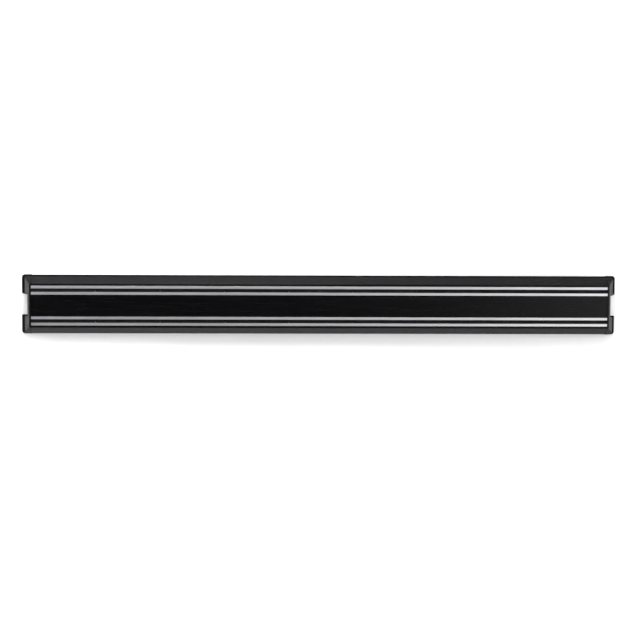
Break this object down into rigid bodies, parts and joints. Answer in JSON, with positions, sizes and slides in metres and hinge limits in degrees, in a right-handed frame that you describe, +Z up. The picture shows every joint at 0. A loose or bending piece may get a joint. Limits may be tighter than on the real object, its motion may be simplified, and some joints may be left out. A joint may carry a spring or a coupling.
{
  "type": "magnetic knife rack",
  "caption": "Wall-mounted magnetic knife rack: a black plastic rail with two steel-faced magnet bars, clipped onto end brackets that screw to the wall.",
  "frame": {"origin": "midway between the two wall screws, on the wall plane", "axes": "+X along the rack, +Y into the wall (so -Y points out at the user), +Z up"},
  "size_m": [0.45, 0.0142, 0.0448],
  "materials": {
    "rail_plastic": "black, satin, extruded",
    "bracket_plastic": "black, satin, moulded",
    "pole_steel": "ground along its length",
    "ferrite": "charcoal, sintered, dull"
  },
  "bodies": {
    "wall_brackets": {"left_end_bracket": "bracket_plastic", "right_end_bracket": "bracket_plastic"},
    "rack": {"rail": "rail_plastic", "pole_strip_upper_outer": "pole_steel", "pole_strip_upper_inner": "pole_steel", "pole_strip_lower_outer": "pole_steel", "pole_strip_lower_inner": "pole_steel", "magnet_upper_1": "ferrite", "magnet_upper_2": "ferrite", "magnet_upper_3": "ferrite", "magnet_upper_4": "ferrite", "magnet_upper_5": "ferrite", "magnet_upper_6": "ferrite", "magnet_upper_7": "ferrite", "magnet_upper_8": "ferrite", "magnet_upper_9": "ferrite", "magnet_lower_1": "ferrite", "magnet_lower_2": "ferrite", "magnet_lower_3": "ferrite", "magnet_lower_4": "ferrite", "magnet_lower_5": "ferrite", "magnet_lower_6": "ferrite", "magnet_lower_7": "ferrite", "magnet_lower_8": "ferrite", "magnet_lower_9": "ferrite"}
  },
  "joints": [
    {"name": "rail_pull_off", "type": "slide", "parent": "wall_brackets", "child": "rack", "axis": [0, -1, 0], "range_m": [0, 0.03]}
  ]
}
